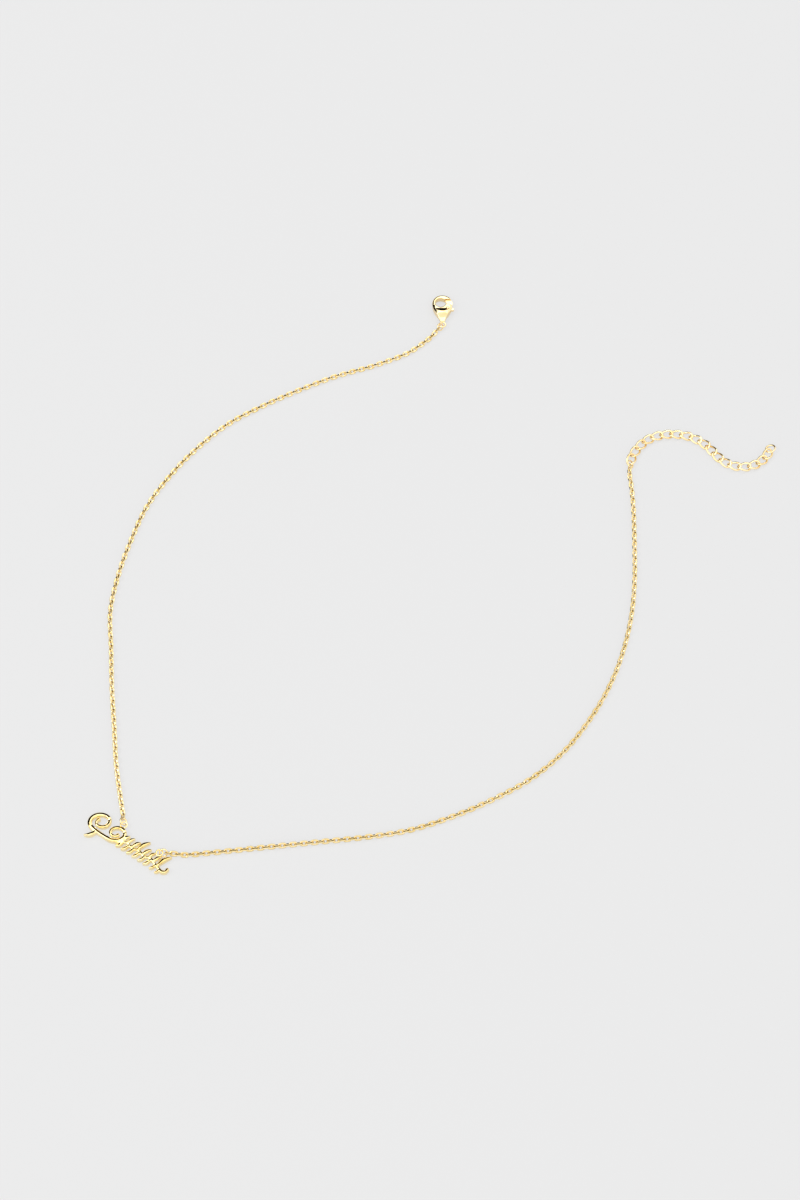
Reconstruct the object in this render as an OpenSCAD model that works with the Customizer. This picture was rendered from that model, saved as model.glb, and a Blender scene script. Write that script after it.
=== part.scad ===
// Flourish pendant necklace lying open on a surface. Millimetres, +Z up, the surface is z = 0.
// The origin is on the pendant's back face, in the middle of the flourish's base line. +X runs along the
// base line and +Y towards the chain ends.

/* [Pendant] */
// Thickness of the pendant plate
pendant_t = 1.5; // [1.5:0.1:1.8]
// Outer radius of the large volute, on its centre line
big_volute_r = 2.6; // [2.5:0.05:2.65]
// Outer radius of the small volute, on its centre line
small_volute_r = 2.3; // [2.2:0.05:2.4]
// Mean radius of an eyelet
eyelet_r = 0.8; // [0.78:0.01:0.82]
// Wire radius of an eyelet
eyelet_wire_r = 0.2; // [0.16:0.01:0.2]

/* [Rings] */
// Mean radius of a pendant or clasp jump ring
jump_r = 0.95; // [0.93:0.01:0.97]
// Wire radius of a jump ring
jump_wire_r = 0.18; // [0.14:0.01:0.18]
// Mean radius of the ring that joins the right chain and the extender
joining_r = 1.0; // [1:0.01:1.05]
// Wire radius of the joining ring
joining_wire_r = 0.2; // [0.16:0.01:0.2]
// Mean radius of the ring at the free end
end_r = 1.25; // [1.2:0.01:1.25]
// Wire radius of the ring at the free end
end_wire_r = 0.22; // [0.18:0.01:0.22]

/* [Cable chain] */
// Outer length of a chain link
cable_l = 2.08; // [2:0.01:2.08]
// Outer width of a chain link
cable_w = 1.35; // [1.25:0.01:1.35]
// Wire radius of a chain link
cable_wire_r = 0.175; // [0.14:0.005:0.175]
// Radius of the tube that stands for the links, across its flats
chain_r = 0.56; // [0.5:0.01:0.56]

/* [Extender] */
// Distance from one curb link to the next
curb_pitch = 2.65; // [2.63:0.01:2.65]
// Half length of a curb link, on its centre line
curb_a = 1.7; // [1.68:0.01:1.72]
// Half width of a curb link, on its centre line
curb_b = 1.1; // [1.05:0.01:1.12]
// Height of a curb link's twist
curb_twist = 0.4; // [0.38:0.01:0.42]
// Wire radius of a curb link
curb_wire_r = 0.24; // [0.2:0.01:0.24]

/* [Clasp] */
// Thickness of the clasp body
clasp_t = 2.3; // [2.2:0.1:2.4]
// Distance from the eye to the middle of the claw
claw_v = 6.85; // [6.7:0.05:7]
// Outer radius of the claw
claw_r = 2.83; // [2.78:0.01:2.85]
// Height of the claw's arm
claw_h = 1.65; // [1.6:0.05:1.7]
// Radius of the claw's hole
hole_r = 1.45; // [1.4:0.01:1.5]
// Length of the lever from its pivot to its tip
lever_l = 2.9; // [2.85:0.05:2.95]
// Thickness of the lever
lever_t = 0.8; // [0.75:0.05:0.85]
// Gap above and below the lever in its slot
slot_gap = 0.1; // [0.08:0.01:0.12]
// Radius of the rivet
rivet_r = 0.35; // [0.34:0.01:0.38]
// Gap round the rivet in the lever
rivet_gap = 0.04; // [0.04:0.01:0.08]

/* [Hidden] */
$fn = 48;
gold = "#e8c06a";
pale_gold = "#f1d48c";

EXTENDER = [
    "extender_link_01", "extender_link_02", "extender_link_03", "extender_link_04", "extender_link_05",
    "extender_link_06", "extender_link_07", "extender_link_08", "extender_link_09", "extender_link_10",
    "extender_link_11", "extender_link_12", "extender_link_13", "extender_link_14", "extender_link_15",
    "extender_link_16", "extender_link_17", "extender_link_18"
];

// Rings: x, y, heading of the pull, tilt about the heading
pendant_ring_left_at = [-4.35, 5.85, 134, 45];
pendant_ring_right_at = [8.75, 4.8, 32, 45];
clasp_ring_at = [-26, 173.5, 86, 55];
extender_ring_at = [41.05, 165.1, 117, 45];
extender_end_ring_at = [68.95, 190.85, 100, -22];

// Eyelets: x, y
eyelets = [[-3.7, 5.15], [7.95, 4.3]];
eyelet_z = 0.85;

// Left chain: x, y, z from its first link to its last
left_route = [
    [-5.2, 6.75, 0.8], [-6.35, 7.95, 0.6], [-9, 10.5, 0.5], [-15.5, 17, 0.5], [-22.5, 25, 0.5], [-30, 33.5, 0.5],
    [-37, 42, 0.5], [-44, 50.5, 0.5], [-49, 60, 0.5], [-53, 70.5, 0.5], [-56, 81, 0.5], [-57, 92, 0.5],
    [-56.5, 103, 0.5], [-54.5, 114, 0.5], [-50.5, 124, 0.5], [-45.5, 134, 0.5], [-40, 143.5, 0.5],
    [-33.5, 152.5, 0.5], [-28.5, 161, 0.5], [-26.5, 168, 0.5], [-26.2, 170.6, 0.65], [-26.1, 172.3, 0.9]
];
// Right chain: x, y, z from its first link to its last
right_route = [
    [9.8, 5.45, 0.8], [11.2, 6.35, 0.6], [14, 8, 0.5], [21.5, 14.5, 0.5], [30, 22, 0.5], [38, 29, 0.5],
    [46.5, 36.5, 0.5], [54, 44, 0.5], [60.5, 53, 0.5], [66, 62.5, 0.5], [70.5, 72.5, 0.5], [73, 83, 0.5],
    [73.5, 94, 0.5], [72.5, 105, 0.5], [70, 115.5, 0.5], [66, 126, 0.5], [61, 135.5, 0.5], [55, 145, 0.5],
    [49, 154, 0.5], [44.5, 160, 0.5], [42.5, 162.4, 0.65], [41.6, 164, 0.9]
];
route_steps = 2;
tube_sides = 8;
end_link_tilt = 45;
end_link_slope = 10;

// Extender: the first link's place, and the way to each next link in degrees
extender_start = [40.4, 166.7];
extender_ways = [100, 88, 76, 61, 47, 36, 25, 13, 0, -13, -18, -10, 9, 28, 47, 67, 85];
way_in = 116;
way_out = 105;

// Clasp: the eye's place and the turn of the whole clasp
clasp_at = [-25.9, 174.45];
clasp_turn = 35;
claw_angles = [30, 195];
claw_edge_r = 0.6;
hole_at = [-0.5, 6.95];
hole_edge_r = 0.7;
pivot = [1.45, 5.15];
lever_inset = [0.05, 0.1];
lever_angles = [-20, 112];
slot_angles = [-50, 148];
tip_gap = 0.1;
tip_clear = 0.02;
dome_r = 7.2;
clasp_far = 9;
mouth_angles = [-12, 15];
eye_z = 1;
rivet_sink = 0.25;
boss_r = 0.8;
slot_r = boss_r + 0.15;
tab = [2.85, 4.95];
tab_r = 0.36;
eye_r = 0.8;
eye_wire_r = 0.24;
// Clasp body: distance from the eye, half width, thickness
clasp_rows = [
    [0.75, 0.6, 0.7], [1.5, 0.8, 0.95], [2.3, 1.15, 1.35], [3, 1.52, 1.9], [3.4, 1.76, 2.2], [3.8, 2, clasp_t],
    [4.1, 2.17, 2.2], [4.5, 2.36, 1.96], [4.9, 2.52, 1.79], [5.3, 2.64, 1.75], [6, 2.76, 1.75], [6.75, 2.77, 1.75]
];

// Large and small volute: middle, turns, inner half width, outer half width, drop of radius per turn
big_volute = [[-9.2, 2.65], 1.3, 0.3, 0.56, 1.35];
small_volute = [[-4.35, 2.35], 1.25, 0.28, 0.52, 1.3];
volute_wide = 1.1;
slant = 0.22;
volute_step = 24;
volute_ball_r = [0.5, 0.45];
// Stem between the volutes: x, y, half width
stem = [[-7.7, -0.03, 0.5], [-6.2, -0.02, 0.46]];
// Vine that runs on from the small volute to the exit curl: x, y, half width
vine = [
    [-3.4, 0.3, 0.2], [-2.3, 0.5, 0.34], [-1.1, 1.45, 0.36], [0.3, 1.85, 0.36], [1.9, 1.35, 0.36], [3.6, 1.8, 0.36],
    [5.3, 1.3, 0.36], [7, 1.8, 0.36], [8.7, 1.3, 0.36], [10.2, 0.85, 0.38], [11.4, 0.55, 0.42], [12.3, 1.1, 0.38],
    [12.3, 1.75, 0.26]
];
vine_ball_r = 0.44;
// Leaves: x and y of the root, the way it grows in degrees, length
leaves = [
    [-7.9, 0.05, 232, 3.2],
    [-1.5, 1.2, 66, 2.5], [0, 1.8, 64, 2.1], [1.6, 1.5, 64, 2.4], [3.1, 1.7, 66, 3.6],
    [4.9, 1.5, 64, 2.4], [6.5, 1.7, 64, 2.05], [8.1, 1.5, 64, 2.3], [9.6, 1.1, 68, 4.1],
    [-0.8, 1.6, 243, 2.2], [0.8, 1.6, 243, 2.2], [2.4, 1.5, 243, 2.1], [4.1, 1.6, 243, 2.2],
    [5.8, 1.5, 243, 2.1], [7.5, 1.6, 243, 2.2], [9.2, 1.1, 243, 1.7], [10.8, 0.7, 243, 1.4]
];
// One leaf: distance from its root against its length, bow against its length, half width
leaf_rows = [[0, 0, 0.2], [0.25, 0.06, 0.42], [0.5, 0.09, 0.52], [0.75, 0.07, 0.43], [1, 0, 0.17]];
leaf_full = 2.6;
stroke_steps = 3;
cap_steps = 4;

// A smooth curve through rows of numbers, and points on it
function row(rows, i) = rows[max(0, min(len(rows) - 1, i))];
function between(rows, i, t) =
    let (a = row(rows, i - 1), b = rows[i], c = rows[i + 1], d = row(rows, i + 2))
    0.5 * (2 * b + (c - a) * t + (2 * a - 5 * b + 4 * c - d) * t * t + (3 * b - a - 3 * c + d) * t * t * t);
function curve(rows, steps) = [
    for (i = [0:len(rows) - 2], j = [0:steps - 1]) between(rows, i, j / steps),
    rows[len(rows) - 1]
];
function unit(v) = v / norm(v);
function way(points, i) = unit(row(points, i + 1) - row(points, i - 1));
function reversed(list) = [for (i = [len(list) - 1:-1:0]) list[i]];

// The outline of a pen stroke along rows of x, y and half width, with round ends
function place_of(r) = [r[0], r[1]];
function side_point(rows, i, side) =
    let (d = unit(place_of(row(rows, i + 1)) - place_of(row(rows, i - 1))))
    place_of(rows[i]) + side * rows[i][2] * [-d[1], d[0]];
function cap(rows, i, turn) =
    let (d = unit(place_of(row(rows, i + 1)) - place_of(row(rows, i - 1))), a = atan2(d[1], d[0]) + turn)
    [for (k = [1:cap_steps - 1])
        place_of(rows[i]) + rows[i][2] * [cos(a - 180 * k / cap_steps), sin(a - 180 * k / cap_steps)]];
function outline(rows) = concat(
    [for (i = [0:len(rows) - 1]) side_point(rows, i, 1)],
    cap(rows, len(rows) - 1, 90),
    [for (i = [len(rows) - 1:-1:0]) side_point(rows, i, -1)],
    cap(rows, 0, -90)
);
module stroke(rows) {
    polygon(outline(curve(rows, stroke_steps)));
}

// Rows of a volute from its outer end at the bottom to its inner end; turn is 1 or -1
function volute(v, r, turn) = [
    for (a = [0:volute_step:v[1] * 360])
        let (
            k = r - v[4] * a / 360,
            f = -90 + turn * a,
            w = v[3] + (v[2] - v[3]) * a / (v[1] * 360)
        )
        [v[0][0] + volute_wide * k * cos(f) + slant * k * sin(f) + slant * r, v[0][1] + k * sin(f), w]
];
scroll = concat(reversed(volute(big_volute, big_volute_r, -1)), stem, volute(small_volute, small_volute_r, 1));
function last(list) = list[len(list) - 1];

// A leaf along the way it grows, bowed to the left of it, and slimmer where it is short
module leaf(x, y, grows, length) {
    d = [cos(grows), sin(grows)];
    stroke([for (r = leaf_rows)
        [x + length * (r[0] * d[0] - r[1] * d[1]), y + length * (r[0] * d[1] + r[1] * d[0]),
            r[2] * min(1, length / leaf_full)]]);
}

module flourish() {
    stroke(scroll);
    translate(place_of(scroll[0])) circle(r = volute_ball_r[0]);
    translate(place_of(last(scroll))) circle(r = volute_ball_r[1]);
    stroke(vine);
    translate(place_of(last(vine))) circle(r = vine_ball_r);
    for (l = leaves) leaf(l[0], l[1], l[2], l[3]);
}

module torus(r, wire_r) {
    rotate_extrude() translate([r, 0]) circle(r = wire_r);
}

module pendant() {
    color(pale_gold) {
        linear_extrude(pendant_t) flourish();
        for (e = eyelets) translate([e[0], e[1], eyelet_z]) torus(eyelet_r, eyelet_wire_r);
    }
}

// A ring with its pull along the heading, tilted about it, just touching the surface
module tilted_ring(at, r, wire_r) {
    color(gold)
        translate([at[0], at[1], r * abs(sin(at[3])) + wire_r])
            rotate([0, 0, at[2]]) rotate([at[3], 0, 0]) torus(r, wire_r);
}

// Wire along a closed path of points
function ring_point(path, i, wire_r, k, sides) =
    let (
        n = len(path),
        d = unit(path[(i + 1) % n] - path[(i + n - 1) % n]),
        side = unit(cross(d, [0, 0, 1])),
        up = cross(side, d),
        a = 360 * k / sides
    )
    path[i] + wire_r * (cos(a) * side + sin(a) * up);
module closed_wire(path, wire_r, sides = 6) {
    n = len(path);
    points = [for (i = [0:n - 1], k = [0:sides - 1]) ring_point(path, i, wire_r, k, sides)];
    faces = [
        for (i = [0:n - 1], k = [0:sides - 1])
            let (a = i * sides + k, b = i * sides + (k + 1) % sides, m = ((i + 1) % n) * sides)
            for (f = [[a, b, m + k], [b, m + (k + 1) % sides, m + k]]) f
    ];
    polyhedron(points = points, faces = faces);
}

// A cable link's centre line: two half circles joined by straight wire
function cable_path() =
    let (r = cable_w / 2 - cable_wire_r, s = cable_l / 2 - cable_w / 2)
    concat(
        [for (a = [-90:30:90]) [s + r * cos(a), r * sin(a), 0]],
        [[0, r, 0]],
        [for (a = [90:30:270]) [-s + r * cos(a), r * sin(a), 0]],
        [[0, -r, 0]]
    );
module cable_link(at, heading, slope, tilt) {
    translate(at) rotate([0, 0, heading]) rotate([0, -slope, 0]) rotate([tilt, 0, 0])
        closed_wire(cable_path(), cable_wire_r);
}

// The tube that stands for a chain's links, from inside its first link to inside its last
function tube_ring(path, i, r) =
    let (
        d = way(path, i),
        side = unit(cross(d, [0, 0, 1])),
        up = cross(side, d)
    )
    [for (k = [0:tube_sides - 1])
        let (a = 360 * (k + 0.5) / tube_sides)
        path[i] + r / cos(180 / tube_sides) * (cos(a) * side + sin(a) * up)];
module tube(path, r) {
    n = len(path);
    points = [for (i = [0:n - 1]) each tube_ring(path, i, r)];
    sides = [
        for (i = [0:n - 2], k = [0:tube_sides - 1])
            let (a = i * tube_sides + k, b = i * tube_sides + (k + 1) % tube_sides)
            for (f = [[a, b, a + tube_sides], [b, b + tube_sides, a + tube_sides]]) f
    ];
    start = [for (k = [tube_sides - 1:-1:0]) k];
    end = [for (k = [0:tube_sides - 1]) (n - 1) * tube_sides + k];
    polyhedron(points = points, faces = concat([start], sides, [end]));
}
function heading_of(d) = atan2(d[1], d[0]);
module chain(route) {
    path = [for (p = curve(route, route_steps)) [p[0], p[1], max(p[2], chain_r)]];
    inner = [for (i = [1:len(path) - 2]) path[i]];
    color(gold) {
        tube(inner, chain_r);
        cable_link(route[0], heading_of(route[1] - route[0]), -end_link_slope, -end_link_tilt);
        cable_link(last(route), heading_of(last(route) - route[len(route) - 2]), end_link_slope, -end_link_tilt);
    }
}

// Extender links: each centre is one pitch on from the one before
function walk(i) = i == 0 ? extender_start
    : walk(i - 1) + curb_pitch * [cos(extender_ways[i - 1]), sin(extender_ways[i - 1])];
all_ways = concat([way_in], extender_ways, [way_out]);
function curb_path() = [
    for (t = [0:22.5:337.5]) [curb_a * cos(t), curb_b * sin(t), curb_twist * sin(2 * t)]
];
module extender_link(i) {
    color(gold)
        translate([walk(i)[0], walk(i)[1], curb_twist + curb_wire_r])
            rotate([0, 0, (all_ways[i] + all_ways[i + 1]) / 2])
                closed_wire(curb_path(), curb_wire_r);
}

module in_clasp() {
    translate([clasp_at[0], clasp_at[1], 0]) rotate([0, 0, clasp_turn]) children();
}

// Part of a circle's area between two angles, out to a radius that covers the clasp
module sector(from, to) {
    step = (to - from) / 4;
    polygon([[0, 0], for (a = [from:step:to]) clasp_far * [cos(a), sin(a)]]);
}

// A disc's cross section from its middle out, with a rounded rim
module disc_section(r, height, edge_r) {
    translate([0, -height / 2]) square([r - edge_r, height]);
    translate([0, edge_r - height / 2]) square([r, height - 2 * edge_r]);
    for (s = [-1, 1]) translate([r - edge_r, s * (height / 2 - edge_r)]) circle(r = edge_r);
}

// The claw's arm, hollowed at its tip so that the lever's tip closes against the inside of it
module claw_arm() {
    difference() {
        translate([0, claw_v, clasp_t / 2])
            rotate([0, 0, claw_angles[0]])
                rotate_extrude(angle = claw_angles[1] - claw_angles[0]) disc_section(claw_r, claw_h, claw_edge_r);
        translate([pivot[0], pivot[1], -1]) cylinder(r = lever_l + tip_gap + tip_clear, h = clasp_t + 2);
    }
}

// The body: its outline, its side view and a dome across it, each extruded
module body_blank() {
    rows = curve(clasp_rows, 3);
    dome_down = dome_r - clasp_t;
    intersection() {
        linear_extrude(clasp_t)
            polygon(concat([for (r = rows) [-r[1], r[0]]], [for (r = reversed(rows)) [r[1], r[0]]]));
        rotate([90, 0, 90])
            linear_extrude(4 * claw_r, center = true)
                polygon(concat(
                    [for (r = rows) [r[0], (clasp_t - r[2]) / 2]],
                    [for (r = reversed(rows)) [r[0], (clasp_t + r[2]) / 2]]
                ));
        translate([0, -1, -dome_down]) rotate([-90, 0, 0]) cylinder(r = dome_r, h = claw_v + claw_r + 2, $fn = 180);
        translate([0, -1, dome_r]) rotate([-90, 0, 0]) cylinder(r = dome_r, h = claw_v + claw_r + 2, $fn = 180);
    }
}

// The claw's hole, turned round from its middle, with a rounded edge at each face
module hole() {
    translate([hole_at[0], hole_at[1], clasp_t / 2])
        rotate_extrude() {
            translate([0, -clasp_t]) square([hole_r, 2 * clasp_t]);
            for (s = [0, 1]) mirror([0, s]) translate([0, clasp_t / 2 - hole_edge_r]) difference() {
                square([hole_r + hole_edge_r, hole_edge_r + 1]);
                translate([hole_r + hole_edge_r, 0]) circle(r = hole_edge_r);
            }
        }
}

// The lever's slot: open to the hole and to the right, with a round floor behind the lever's boss
module slot() {
    translate([0, 0, clasp_t / 2 - lever_t / 2 - slot_gap])
        linear_extrude(lever_t + 2 * slot_gap) translate(pivot) {
            circle(r = slot_r);
            intersection() {
                sector(slot_angles[0], slot_angles[1]);
                circle(r = lever_l + tip_gap);
            }
        }
}

module clasp_body() {
    color(pale_gold) in_clasp() {
        difference() {
            union() {
                body_blank();
                claw_arm();
            }
            hole();
            translate([0, claw_v, -1]) linear_extrude(clasp_t + 2) sector(mouth_angles[0], mouth_angles[1]);
            slot();
            translate([pivot[0], pivot[1], -1]) cylinder(r = rivet_r, h = clasp_t + 2);
        }
        translate([0, 0, eye_z]) torus(eye_r, eye_wire_r);
    }
}

module clasp_rivet() {
    color(gold) in_clasp()
        translate([pivot[0], pivot[1], rivet_sink]) cylinder(r = rivet_r, h = clasp_t - 2 * rivet_sink);
}

module clasp_lever() {
    color(gold) in_clasp()
        translate([0, 0, (clasp_t - lever_t) / 2])
            difference() {
                linear_extrude(lever_t) {
                    difference() {
                        intersection() {
                            translate([0, claw_v]) circle(r = claw_r - lever_inset[0]);
                            translate(pivot) circle(r = lever_l);
                            translate(pivot) sector(lever_angles[0], lever_angles[1]);
                        }
                        translate(hole_at) circle(r = hole_r + lever_inset[1]);
                    }
                    translate(pivot) circle(r = boss_r);
                    translate([pivot[0], tab[1] - tab_r]) square([tab[0] - pivot[0], 2 * tab_r]);
                    translate(tab) circle(r = tab_r);
                }
                translate([pivot[0], pivot[1], -1]) cylinder(r = rivet_r + rivet_gap, h = lever_t + 2);
            }
}

pendant();
tilted_ring(pendant_ring_left_at, jump_r, jump_wire_r);  // pendant_ring_left
tilted_ring(pendant_ring_right_at, jump_r, jump_wire_r);  // pendant_ring_right
chain(left_route);  // chain_left
chain(right_route);  // chain_right
tilted_ring(clasp_ring_at, jump_r, jump_wire_r);  // clasp_ring
clasp_body();
clasp_rivet();
clasp_lever();
tilted_ring(extender_ring_at, joining_r, joining_wire_r);  // extender_ring
for (i = [0:len(EXTENDER) - 1])
    extender_link(i);
tilted_ring(extender_end_ring_at, end_r, end_wire_r);  // extender_end_ring
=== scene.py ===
import math

import bmesh
import bpy
from mathutils import Matrix, Vector
from mathutils.kdtree import KDTree


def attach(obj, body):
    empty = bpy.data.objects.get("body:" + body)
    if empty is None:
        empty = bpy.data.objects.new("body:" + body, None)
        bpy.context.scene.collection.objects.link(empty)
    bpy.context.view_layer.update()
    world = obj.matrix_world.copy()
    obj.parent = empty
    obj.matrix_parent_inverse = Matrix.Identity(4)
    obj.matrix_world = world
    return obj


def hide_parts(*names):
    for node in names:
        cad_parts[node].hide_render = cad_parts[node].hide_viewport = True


mm = 0.001
weldWithin = 0.001 * mm
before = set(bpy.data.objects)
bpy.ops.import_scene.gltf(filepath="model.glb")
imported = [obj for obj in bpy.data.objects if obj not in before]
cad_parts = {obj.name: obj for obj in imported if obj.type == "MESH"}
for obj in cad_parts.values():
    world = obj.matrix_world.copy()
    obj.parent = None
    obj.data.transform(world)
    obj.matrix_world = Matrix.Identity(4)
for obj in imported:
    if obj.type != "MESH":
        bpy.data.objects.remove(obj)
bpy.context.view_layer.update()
print("frame loaded with", len(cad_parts), "nodes")


def degrees(value):
    return math.radians(value)


# all gold here is the same plating, in a few depths of colour and polish: the colour drifts between light
# and deep, rough is the polish at its best and worst, a side wall is rougher by wall, and on the pendant
# its colour is painted paler, a painted highlight for the bright floor that the wall reflects
goldTones = {
    "pendantGold": {"light": (0.97, 0.82, 0.45), "deep": (0.92, 0.69, 0.26), "rough": (0.04, 0.1),
                    "wall": 0.05, "paintedPaleness": 0.4, "grain": 5200, "bump": 0.05},
    "chainGold": {"light": (0.85, 0.69, 0.38), "deep": (0.79, 0.62, 0.29), "rough": (0.14, 0.22),
                  "wall": 0.06, "paintedPaleness": 0, "grain": 4200, "bump": 0.12},
    "extenderGold": {"light": (0.95, 0.79, 0.48), "deep": (0.9, 0.68, 0.34), "rough": (0.16, 0.28),
                     "wall": 0.1, "paintedPaleness": 0, "grain": 3600, "bump": 0.1},
    "claspGold": {"light": (0.91, 0.74, 0.44), "deep": (0.85, 0.64, 0.31), "rough": (0.08, 0.14),
                  "wall": 0.05, "paintedPaleness": 0, "grain": 3000, "bump": 0.06},
}
# what the four golds share; in wallRange, from upright to level, a wall's duller finish and painted
# highlight fade into a face's
finish = {"driftScale": 420, "driftDetail": 2, "driftRange": (0.35, 0.6), "grainDetail": 3,
          "markDepth": 0.02, "wallRange": (0.1, 0.6), "paintedPaleWall": (1.0, 0.92, 0.68)}


def makeGold(name, tone):
    material = bpy.data.materials.new(name)
    material.use_nodes = True
    nodes, links = material.node_tree.nodes, material.node_tree.links
    shader = nodes["Principled BSDF"]
    shader.inputs["Metallic"].default_value = 1.0
    place = nodes.new("ShaderNodeTexCoord")

    # slow drift of the plating's colour
    drift = nodes.new("ShaderNodeTexNoise")
    drift.inputs["Scale"].default_value = finish["driftScale"]
    drift.inputs["Detail"].default_value = finish["driftDetail"]
    links.new(place.outputs["Object"], drift.inputs["Vector"])
    colour = nodes.new("ShaderNodeValToRGB")
    stops = colour.color_ramp.elements
    stops[0].position, stops[1].position = finish["driftRange"]
    stops[0].color = (*tone["deep"], 1)
    stops[1].color = (*tone["light"], 1)
    links.new(drift.outputs["Fac"], colour.inputs["Fac"])

    # buffing marks: fine grain in the roughness and in the bump
    grain = nodes.new("ShaderNodeTexNoise")
    grain.inputs["Scale"].default_value = tone["grain"]
    grain.inputs["Detail"].default_value = finish["grainDetail"]
    links.new(place.outputs["Object"], grain.inputs["Vector"])
    polish = nodes.new("ShaderNodeMapRange")
    polish.inputs["To Min"].default_value = tone["rough"][0]
    polish.inputs["To Max"].default_value = tone["rough"][1]
    links.new(grain.outputs["Fac"], polish.inputs["Value"])

    # walls that the buffing wheel doesn't reach stay a little duller; on the pendant they are also painted
    # paler, a painted highlight for the bright floor that they reflect
    facing = nodes.new("ShaderNodeSeparateXYZ")
    links.new(place.outputs["Normal"], facing.inputs["Vector"])
    flatness = nodes.new("ShaderNodeMath")
    flatness.operation = "ABSOLUTE"
    links.new(facing.outputs["Z"], flatness.inputs[0])
    upright = nodes.new("ShaderNodeMapRange")
    upright.inputs["From Min"].default_value = finish["wallRange"][0]
    upright.inputs["From Max"].default_value = finish["wallRange"][1]
    upright.inputs["To Min"].default_value = 1.0
    upright.inputs["To Max"].default_value = 0.0
    links.new(flatness.outputs["Value"], upright.inputs["Value"])
    rough = nodes.new("ShaderNodeMath")
    rough.operation = "MULTIPLY_ADD"
    rough.inputs[1].default_value = tone["wall"]
    links.new(upright.outputs["Result"], rough.inputs[0])
    links.new(polish.outputs["Result"], rough.inputs[2])
    links.new(rough.outputs["Value"], shader.inputs["Roughness"])
    # painted highlight: the wall's colour is mixed towards a pale cream by how upright the wall is
    share = nodes.new("ShaderNodeMath")
    share.operation = "MULTIPLY"
    share.inputs[1].default_value = tone["paintedPaleness"]
    links.new(upright.outputs["Result"], share.inputs[0])
    paintedPaleMix = nodes.new("ShaderNodeMixRGB")
    paintedPaleMix.inputs["Color2"].default_value = (*finish["paintedPaleWall"], 1)
    links.new(share.outputs["Value"], paintedPaleMix.inputs["Fac"])
    links.new(colour.outputs["Color"], paintedPaleMix.inputs["Color1"])
    links.new(paintedPaleMix.outputs["Color"], shader.inputs["Base Color"])

    bump = nodes.new("ShaderNodeBump")
    bump.inputs["Strength"].default_value = tone["bump"]
    bump.inputs["Distance"].default_value = finish["markDepth"] * mm
    links.new(grain.outputs["Fac"], bump.inputs["Height"])
    links.new(bump.outputs["Normal"], shader.inputs["Normal"])
    return material


golds = {name: makeGold(name, tone) for name, tone in goldTones.items()}
print("materials made:", ", ".join(golds))


def finishPiece(name, bm, gold, body):
    mesh = bpy.data.meshes.new(name)
    bm.to_mesh(mesh)
    bm.free()
    mesh.shade_smooth()
    piece = bpy.data.objects.new(name, mesh)
    bpy.context.scene.collection.objects.link(piece)
    mesh.materials.append(golds[gold])
    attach(piece, body)
    return piece


def wireSection(bm, radius, wire, sides):
    # a round section standing across the wire's way, out on +X
    stand = Matrix.Translation((radius, 0, 0)) @ Matrix.Rotation(degrees(90), 4, "X")
    verts = bmesh.ops.create_circle(bm, segments=sides, radius=wire, matrix=stand)["verts"]
    return verts + list({edge for vert in verts for edge in vert.link_edges})


def spinRing(bm, radius, wire, steps, sides):
    bmesh.ops.spin(bm, geom=wireSection(bm, radius, wire, sides), cent=(0, 0, 0), axis=(0, 0, 1),
                   angle=degrees(360), steps=steps, use_merge=True)
    bmesh.ops.remove_doubles(bm, verts=bm.verts, dist=weldWithin)
    bmesh.ops.recalc_face_normals(bm, faces=bm.faces)


def smoothCurve(points, steps):
    # Catmull-Rom through the points, as the CAD tubes have it
    count = len(points)
    spots = []
    for i in range(count - 1):
        before, here, there, after = (points[max(0, min(count - 1, i + k))] for k in (-1, 0, 1, 2))
        for j in range(steps):
            t = j / steps
            spots.append(0.5 * (2 * here + (there - before) * t
                                + (2 * before - 5 * here + 4 * there - after) * t * t
                                + (3 * here - before - 3 * there + after) * t ** 3))
    return spots + [points[-1]]


# jump rings: heading is the way the ring is pulled, tilt turns it about that way, and cutAt is where the
# ring was closed
rings = {
    "pendantRingLeft": {"node": "pendant_ring_left", "at": (-4.35, 5.85), "heading": 134, "tilt": 45,
                        "radius": 0.95, "wire": 0.18, "cutAt": 100, "gold": "chainGold", "slot": "chain"},
    "pendantRingRight": {"node": "pendant_ring_right", "at": (8.75, 4.8), "heading": 32, "tilt": 45,
                         "radius": 0.95, "wire": 0.18, "cutAt": 250, "gold": "chainGold", "slot": "chain"},
    "claspRing": {"node": "clasp_ring", "at": (-26, 173.5), "heading": 86, "tilt": 55,
                  "radius": 0.95, "wire": 0.18, "cutAt": 80, "gold": "claspGold", "slot": "chain"},
    "extenderRing": {"node": "extender_ring", "at": (41.05, 165.1), "heading": 117, "tilt": 45,
                     "radius": 1.0, "wire": 0.2, "cutAt": 280, "gold": "extenderGold", "slot": "extender"},
    "extenderEndRing": {"node": "extender_end_ring", "at": (68.95, 190.85), "heading": 100, "tilt": -22,
                        "radius": 1.25, "wire": 0.22, "cutAt": 90, "gold": "extenderGold",
                        "slot": "extender"},
}
ringCut = {"gap": 0.05, "steps": 40, "sides": 12}


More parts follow.
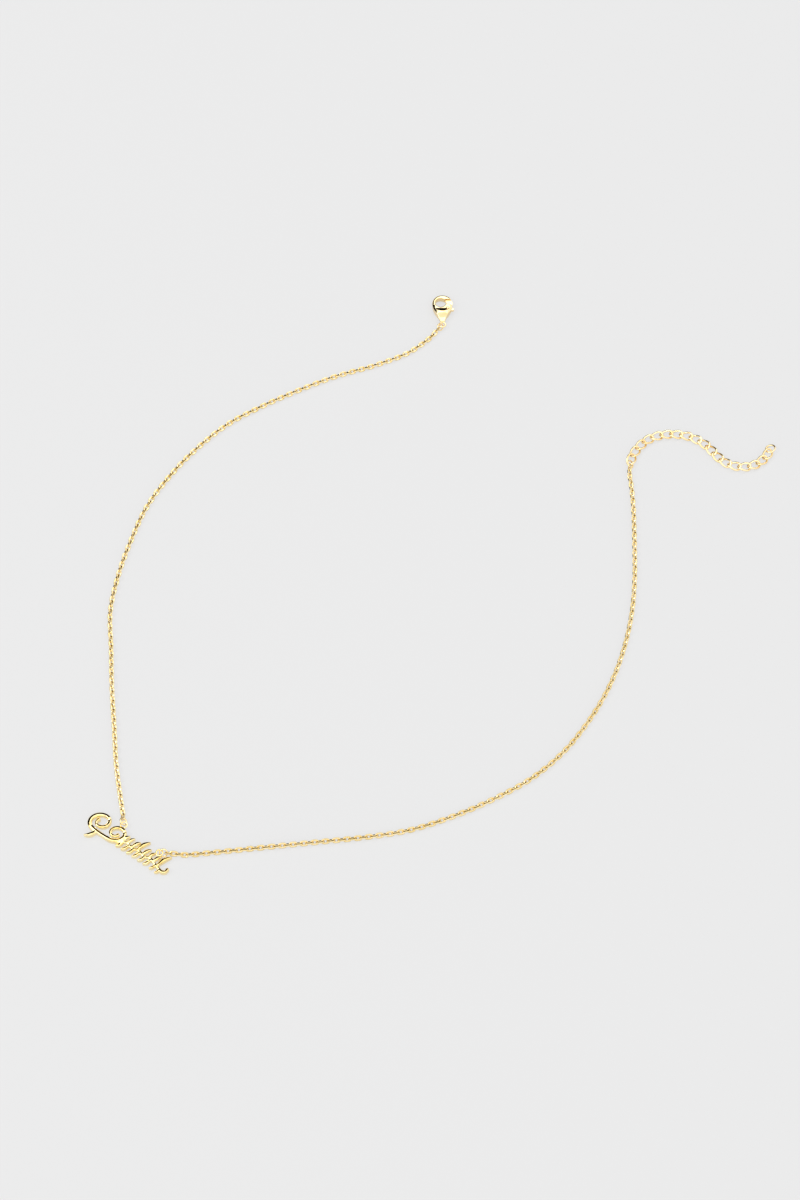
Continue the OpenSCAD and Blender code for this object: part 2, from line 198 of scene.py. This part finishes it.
def makeRing(name, ring):
    bm = bmesh.new()
    radius, wire = ring["radius"] * mm, ring["wire"] * mm
    missing = ringCut["gap"] / ring["radius"]
    section = wireSection(bm, radius, wire, ringCut["sides"])
    bmesh.ops.spin(bm, geom=section, cent=(0, 0, 0), axis=(0, 0, 1), angle=degrees(360) - missing,
                   steps=ringCut["steps"])
    rims = [edge for edge in bm.edges if edge.is_boundary]
    bmesh.ops.holes_fill(bm, edges=rims, sides=0)
    for edge in rims:
        edge.smooth = False
    bmesh.ops.recalc_face_normals(bm, faces=bm.faces)
    height = radius * abs(math.sin(degrees(ring["tilt"]))) + wire
    place = (Matrix.Translation((ring["at"][0] * mm, ring["at"][1] * mm, height))
             @ Matrix.Rotation(degrees(ring["heading"]), 4, "Z")
             @ Matrix.Rotation(degrees(ring["tilt"]), 4, "X")
             @ Matrix.Rotation(degrees(ring["cutAt"]), 4, "Z"))
    bmesh.ops.transform(bm, matrix=place, verts=bm.verts)
    piece = finishPiece(name, bm, ring["gold"], "necklace")
    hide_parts(ring["node"])


for ringName, ringFacts in rings.items():
    makeRing(ringName, ringFacts)
print("rings made:", len(rings))


# the chain's links are rolled either way in turn, and each passes through the next
cableLink = {"length": 2.29, "width": 1.5, "wire": 0.24, "sides": 6, "bendSteps": 5}
endLink = {"length": 2.08, "width": 1.35, "wire": 0.175, "sides": 8, "bendSteps": 6}  # held by the rings
chainLay = {"roll": 45, "lift": 0.61, "curveSteps": 24}  # no point of the route lies lower than lift
chainHalves = {
    "chainLeft": {"node": "chain_left", "links": 145, "route": [
        (-5.2, 6.75, 0.8), (-6.35, 7.95, 0.6), (-9, 10.5, 0.5), (-15.5, 17, 0.5), (-22.5, 25, 0.5),
        (-30, 33.5, 0.5), (-37, 42, 0.5), (-44, 50.5, 0.5), (-49, 60, 0.5), (-53, 70.5, 0.5),
        (-56, 81, 0.5), (-57, 92, 0.5), (-56.5, 103, 0.5), (-54.5, 114, 0.5), (-50.5, 124, 0.5),
        (-45.5, 134, 0.5), (-40, 143.5, 0.5), (-33.5, 152.5, 0.5), (-28.5, 161, 0.5), (-26.5, 168, 0.5),
        (-26.2, 170.6, 0.65), (-26.1, 172.3, 0.9)]},
    "chainRight": {"node": "chain_right", "links": 147, "route": [
        (9.8, 5.45, 0.8), (11.2, 6.35, 0.6), (14, 8, 0.5), (21.5, 14.5, 0.5), (30, 22, 0.5),
        (38, 29, 0.5), (46.5, 36.5, 0.5), (54, 44, 0.5), (60.5, 53, 0.5), (66, 62.5, 0.5),
        (70.5, 72.5, 0.5), (73, 83, 0.5), (73.5, 94, 0.5), (72.5, 105, 0.5), (70, 115.5, 0.5),
        (66, 126, 0.5), (61, 135.5, 0.5), (55, 145, 0.5), (49, 154, 0.5), (44.5, 160, 0.5),
        (42.5, 162.4, 0.65), (41.6, 164, 0.9)]},
}


def cableLinkMesh(link):
    # half of the link is spun, a turned copy makes the other half, and straight wire bridges them
    bm = bmesh.new()
    wire = link["wire"] * mm
    bend = (link["width"] / 2 - link["wire"]) * mm
    straight = (link["length"] - link["width"]) / 2 * mm
    section = wireSection(bm, bend, wire, link["sides"])
    bmesh.ops.rotate(bm, verts=bm.verts, cent=(0, 0, 0), matrix=Matrix.Rotation(degrees(-90), 3, "Z"))
    bmesh.ops.spin(bm, geom=section, cent=(0, 0, 0), axis=(0, 0, 1), angle=degrees(180),
                   steps=link["bendSteps"])
    bmesh.ops.translate(bm, verts=bm.verts, vec=(straight, 0, 0))
    half = bm.verts[:] + bm.edges[:] + bm.faces[:]
    other = bmesh.ops.duplicate(bm, geom=half)["geom"]
    turned = [item for item in other if isinstance(item, bmesh.types.BMVert)]
    bmesh.ops.rotate(bm, verts=turned, cent=(0, 0, 0), matrix=Matrix.Rotation(degrees(180), 3, "Z"))
    for side in (1, -1):
        rims = [edge for edge in bm.edges
                if edge.is_boundary and sum(vert.co.y for vert in edge.verts) * side > 0]
        bmesh.ops.bridge_loops(bm, edges=rims)
    bmesh.ops.recalc_face_normals(bm, faces=bm.faces)
    mesh = bpy.data.meshes.new("cableLinkShape")
    bm.to_mesh(mesh)
    bm.free()
    return mesh


def spotsAlong(route, count):
    # evenly spaced places and ways along the route's smooth curve
    points = [Vector((x, y, max(z, chainLay["lift"]))) * mm for x, y, z in route]
    line = smoothCurve(points, chainLay["curveSteps"])
    reach = [0.0]
    for i in range(1, len(line)):
        reach.append(reach[-1] + (line[i] - line[i - 1]).length)
    spots, k = [], 0
    for i in range(count):
        target = reach[-1] * i / (count - 1)
        while k < len(reach) - 2 and reach[k + 1] < target:
            k += 1
        share = (target - reach[k]) / (reach[k + 1] - reach[k])
        spots.append(line[k].lerp(line[k + 1], share))
    ways = [(spots[min(i + 1, count - 1)] - spots[max(i - 1, 0)]).normalized() for i in range(count)]
    return spots, ways


def makeChain(name, half, linkMesh, endMesh):
    bm = bmesh.new()
    spots, ways = spotsAlong(half["route"], half["links"])
    for i, (spot, way) in enumerate(zip(spots, ways)):
        shape = endMesh if i in (0, half["links"] - 1) else linkMesh
        side = Vector((0, 0, 1)).cross(way).normalized()
        turn = Matrix((way, side, way.cross(side))).transposed().to_4x4()
        roll = chainLay["roll"] * (1 if i % 2 else -1)
        place = Matrix.Translation(spot) @ turn @ Matrix.Rotation(degrees(roll), 4, "X")
        bm.from_mesh(shape)
        bm.verts.ensure_lookup_table()
        bmesh.ops.transform(bm, matrix=place, verts=bm.verts[-len(shape.vertices):])
    piece = finishPiece(name, bm, "chainGold", "necklace")
    piece.data.shade_flat()  # the links are cut with flats, which is why the chain sparkles
    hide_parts(half["node"])
    print(name, "has", half["links"], "links")


linkShape, endShape = cableLinkMesh(cableLink), cableLinkMesh(endLink)
for chainName, chainFacts in chainHalves.items():
    makeChain(chainName, chainFacts, linkShape, endShape)
bpy.data.meshes.remove(linkShape)
bpy.data.meshes.remove(endShape)


# the extender's twisted curb links, each one pitch on from the one before, along these ways
extender = {"start": (40.4, 166.7), "pitch": 2.65, "wayIn": 116, "wayOut": 105,
            "ways": (100, 88, 76, 61, 47, 36, 25, 13, 0, -13, -18, -10, 9, 28, 47, 67, 85),
            "halfLength": 1.7, "halfWidth": 1.1, "twist": 0.4, "wire": 0.28, "steps": 28, "sides": 10}


def makeCurbLink(number, at, heading):
    bm = bmesh.new()
    spinRing(bm, mm, extender["wire"] * mm, extender["steps"], extender["sides"])
    for vert in bm.verts:
        around = math.atan2(vert.co.y, vert.co.x)
        vert.co += Vector(((extender["halfLength"] - 1) * math.cos(around),
                           (extender["halfWidth"] - 1) * math.sin(around),
                           extender["twist"] * math.sin(2 * around))) * mm
    height = (extender["twist"] + extender["wire"]) * mm
    place = Matrix.Translation((at.x * mm, at.y * mm, height)) @ Matrix.Rotation(degrees(heading), 4, "Z")
    bmesh.ops.transform(bm, matrix=place, verts=bm.verts)
    piece = finishPiece("extenderLink%02d" % number, bm, "extenderGold", "necklace")
    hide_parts("extender_link_%02d" % number)


def makeExtender():
    at = Vector(extender["start"])
    ways = (extender["wayIn"], *extender["ways"], extender["wayOut"])
    for i in range(len(ways) - 1):
        makeCurbLink(i + 1, at, (ways[i] + ways[i + 1]) / 2)
        onward = degrees(ways[i + 1])
        at = at + extender["pitch"] * Vector((math.cos(onward), math.sin(onward)))
    print("extender has", len(ways) - 1, "links")


makeExtender()


def castCopy(node, voxel, rounds):
    # the CAD solid's own mesh, merged, remeshed evenly and worn smooth at its edges
    bm = bmesh.new()
    bm.from_mesh(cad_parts[node].data)
    bmesh.ops.remove_doubles(bm, verts=bm.verts, dist=weldWithin)
    mesh = bpy.data.meshes.new(node + "Cast")
    bm.to_mesh(mesh)
    bm.free()
    cast = bpy.data.objects.new(node + "Cast", mesh)
    bpy.context.scene.collection.objects.link(cast)
    remesh = cast.modifiers.new("even", "REMESH")
    remesh.mode = "VOXEL"
    remesh.voxel_size = voxel * mm
    bpy.context.view_layer.update()
    ready = cast.evaluated_get(bpy.context.evaluated_depsgraph_get())
    bm = bmesh.new()
    bm.from_mesh(ready.to_mesh())
    ready.to_mesh_clear()
    bpy.data.objects.remove(cast)
    bpy.data.meshes.remove(mesh)
    wearSmooth(bm, rounds)
    return bm


def wearSmooth(bm, rounds):
    for _ in range(rounds):
        bmesh.ops.smooth_vert(bm, verts=bm.verts, factor=0.5, use_axis_x=True, use_axis_y=True,
                              use_axis_z=True)


# the pendant's front face has a flat buffed bevel along its edges, broad beside the walls that look to the
# upper left, which is way, and narrow beside the others; steep is the most that a wall may look up
pendant = {"voxel": 0.07, "smooth": 5, "smoothAfter": 1,
           "bevel": {"way": (-0.77, 0.64), "broad": 0.6, "narrow": 0.22, "drop": 0.32,
                     "walls": (1.0, 1.36), "steep": 0.4}}


def bevelTop(bm, bevel):
    # the face is lowered near its walls, and the walls' upper part is drawn down with it
    bm.normal_update()
    low, high = (level * mm for level in bevel["walls"])
    walls = [vert for vert in bm.verts if low < vert.co.z < high and abs(vert.normal.z) < bevel["steep"]]
    top = max(vert.co.z for vert in bm.verts)
    trees = []
    for width, sign in ((bevel["broad"], 1), (bevel["narrow"], -1)):
        way = Vector((*bevel["way"], 0)) * sign
        side = [vert for vert in walls if vert.normal.dot(way) > 0]
        tree = KDTree(len(side))
        for i, vert in enumerate(side):
            tree.insert((vert.co.x, vert.co.y, 0), i)
        tree.balance()
        trees.append((tree, width * mm))
    for vert in bm.verts:
        if vert.co.z > low:
            away = min(tree.find((vert.co.x, vert.co.y, 0))[2] / width for tree, width in trees)
            vert.co.z -= bevel["drop"] * mm * max(0, 1 - away) * (vert.co.z - low) / (top - low)


def makePendant():
    bm = castCopy("pendant", pendant["voxel"], pendant["smooth"])
    bevelTop(bm, pendant["bevel"])
    wearSmooth(bm, pendant["smoothAfter"])
    piece = finishPiece("pendantFlourish", bm, "pendantGold", "necklace")
    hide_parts("pendant")
    print("pendant has", len(piece.data.polygons), "faces")


makePendant()


clasp = {"bodyVoxel": 0.07, "bodySmooth": 8, "leverVoxel": 0.05, "leverSmooth": 4,
         "at": (-25.9, 174.45), "turn": 35, "pivot": (1.45, 5.15),
         "rivetRadius": 0.35, "rivetLow": 0.25, "rivetHigh": 2.05, "rivetSides": 32,
         "rivetDome": 0.12, "domeSteps": 3}


def makeClasp():
    bm = castCopy("clasp_body", clasp["bodyVoxel"], clasp["bodySmooth"])
    body = finishPiece("claspBody", bm, "claspGold", "necklace")
    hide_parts("clasp_body")
    bm = castCopy("clasp_lever", clasp["leverVoxel"], clasp["leverSmooth"])
    lever = finishPiece("claspLever", bm, "claspGold", "lever")
    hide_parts("clasp_lever")
    print("clasp body has", len(body.data.polygons), "faces, lever", len(lever.data.polygons))


def makeRivet():
    # a short pin with rounded ends
    bm = bmesh.new()
    radius, low, high = (clasp[key] * mm for key in ("rivetRadius", "rivetLow", "rivetHigh"))
    bmesh.ops.create_cone(bm, cap_ends=True, segments=clasp["rivetSides"], radius1=radius, radius2=radius,
                          depth=high - low)
    rims = [edge for edge in bm.edges if abs(edge.verts[0].co.z - edge.verts[1].co.z) < weldWithin]
    bmesh.ops.bevel(bm, geom=rims, offset=clasp["rivetDome"] * mm, affect="EDGES",
                    segments=clasp["domeSteps"], profile=0.5, material=-1)
    place = (Matrix.Translation((clasp["at"][0] * mm, clasp["at"][1] * mm, 0))
             @ Matrix.Rotation(degrees(clasp["turn"]), 4, "Z")
             @ Matrix.Translation((clasp["pivot"][0] * mm, clasp["pivot"][1] * mm, (low + high) / 2)))
    bmesh.ops.transform(bm, matrix=place, verts=bm.verts)
    piece = finishPiece("claspRivet", bm, "claspGold", "necklace")
    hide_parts("clasp_rivet")


makeClasp()
makeRivet()


studio = {"floorColour": (0.13, 0.13, 0.131), "floorGlow": 0.635, "floorSize": 20.0, "floorGrain": 260,
          "floorShade": 0.985, "floorRough": 0.7, "floorGloss": 0.1, "sky": 1.27, "darkest": 0.01}
# a dark spot's way and height in the room, the angles to its core's end and its soft edge's end, and how
# wide it is drawn out
darkSpots = {
    "doorway": {"way": (-0.86, 0.51), "height": 8, "core": 39, "edge": 43, "wide": 1.7},
    "cameraStand": {"way": (0.574, -0.819), "height": 46, "core": 4, "edge": 9, "wide": 1.0},
}


def makeFloor():
    bm = bmesh.new()
    bmesh.ops.create_grid(bm, x_segments=2, y_segments=2, size=studio["floorSize"] / 2)
    mesh = bpy.data.meshes.new("floor")
    bm.to_mesh(mesh)
    bm.free()
    floor = bpy.data.objects.new("floor", mesh)
    bpy.context.scene.collection.objects.link(floor)
    material = bpy.data.materials.new("paleTable")
    material.use_nodes = True
    nodes, links = material.node_tree.nodes, material.node_tree.links
    shader = nodes["Principled BSDF"]
    shader.inputs["Roughness"].default_value = studio["floorRough"]
    shader.inputs["Specular IOR Level"].default_value = studio["floorGloss"]
    # it glows like a light table, so that shadows stay faint
    shader.inputs["Emission Color"].default_value = (1, 1, 1, 1)
    shader.inputs["Emission Strength"].default_value = studio["floorGlow"]
    place = nodes.new("ShaderNodeTexCoord")
    grain = nodes.new("ShaderNodeTexNoise")
    grain.inputs["Scale"].default_value = studio["floorGrain"]
    links.new(place.outputs["Object"], grain.inputs["Vector"])
    colour = nodes.new("ShaderNodeValToRGB")
    shade = [part * studio["floorShade"] for part in studio["floorColour"]]
    colour.color_ramp.elements[0].color = (*shade, 1)
    colour.color_ramp.elements[1].color = (*studio["floorColour"], 1)
    links.new(grain.outputs["Fac"], colour.inputs["Fac"])
    links.new(colour.outputs["Color"], shader.inputs["Base Color"])
    mesh.materials.append(material)


def makeSky():
    # a white room with a dark doorway and a dark camera stand, which the gold reflects
    world = bpy.data.worlds.new("studioRoom")
    bpy.context.scene.world = world
    world.use_nodes = True
    nodes, links = world.node_tree.nodes, world.node_tree.links
    background = nodes["Background"]
    background.inputs["Color"].default_value = (1.0, 1.0, 1.0, 1)
    place = nodes.new("ShaderNodeTexCoord")
    light = None
    for spot in darkSpots.values():
        # the spot's own axes: squeezed sideways, so that a wide spot is wider than it is high
        aim = nodes.new("ShaderNodeMapping")
        aim.vector_type = "TEXTURE"
        heading = math.atan2(spot["way"][1], spot["way"][0])
        aim.inputs["Rotation"].default_value = (0, -degrees(spot["height"]), heading)
        aim.inputs["Scale"].default_value = (1, spot["wide"], 1)
        links.new(place.outputs["Generated"], aim.inputs["Vector"])
        level = nodes.new("ShaderNodeVectorMath")
        level.operation = "NORMALIZE"
        links.new(aim.outputs["Vector"], level.inputs[0])
        ahead = nodes.new("ShaderNodeSeparateXYZ")
        links.new(level.outputs["Vector"], ahead.inputs["Vector"])
        shade = nodes.new("ShaderNodeMapRange")
        shade.interpolation_type = "SMOOTHSTEP"
        shade.inputs["From Min"].default_value = math.cos(degrees(spot["core"]))
        shade.inputs["From Max"].default_value = math.cos(degrees(spot["edge"]))
        shade.inputs["To Min"].default_value = studio["darkest"]
        shade.inputs["To Max"].default_value = 1.0
        links.new(ahead.outputs["X"], shade.inputs["Value"])
        if light is None:
            light = shade.outputs["Result"]
        else:
            both = nodes.new("ShaderNodeMath")
            both.operation = "MULTIPLY"
            links.new(light, both.inputs[0])
            links.new(shade.outputs["Result"], both.inputs[1])
            light = both.outputs["Value"]
    whole = nodes.new("ShaderNodeMath")
    whole.operation = "MULTIPLY"
    whole.inputs[1].default_value = studio["sky"]
    links.new(light, whole.inputs[0])
    links.new(whole.outputs["Value"], background.inputs["Strength"])


def addLamp(name, at, aim, size, power):
    lamp = bpy.data.lights.new(name, "AREA")
    lamp.shape = "RECTANGLE"
    lamp.size, lamp.size_y = size
    lamp.energy = power
    holder = bpy.data.objects.new(name, lamp)
    bpy.context.scene.collection.objects.link(holder)
    holder.location = at
    holder.rotation_euler = (Vector(aim) - Vector(at)).to_track_quat("-Z", "Y").to_euler()


lamps = {
    "windowLeft": {"at": (-0.62, -0.52, 0.95), "aim": (0, 0.09, 0), "size": (0.5, 0.5), "power": 4.0},
    "softboxBack": {"at": (-0.37, 0.66, 1.15), "aim": (0.01, 0.09, 0), "size": (0.9, 0.9), "power": 3.0},
    "fillFront": {"at": (0.45, -0.75, 1.1), "aim": (0.01, 0.09, 0), "size": (0.8, 0.8), "power": 3.0},
}
makeFloor()
makeSky()
for lampName, lampFacts in lamps.items():
    addLamp(lampName, lampFacts["at"], lampFacts["aim"], lampFacts["size"], lampFacts["power"])

view = {"at": (0.1933, -0.15905, 0.5289), "aim": (0.01463, 0.09612, 0), "lens": 71.6, "sensor": 36,
        "near": 0.01}
cameraData = bpy.data.cameras.new("photoCamera")
cameraData.lens = view["lens"]
cameraData.sensor_width = view["sensor"]
cameraData.clip_start = view["near"]
camera = bpy.data.objects.new("photoCamera", cameraData)
bpy.context.scene.collection.objects.link(camera)
camera.location = view["at"]
camera.rotation_euler = (Vector(view["aim"]) - Vector(view["at"])).to_track_quat("-Z", "Y").to_euler()
bpy.context.scene.camera = camera
bpy.context.scene.view_settings.view_transform = "Standard"
print("studio ready")
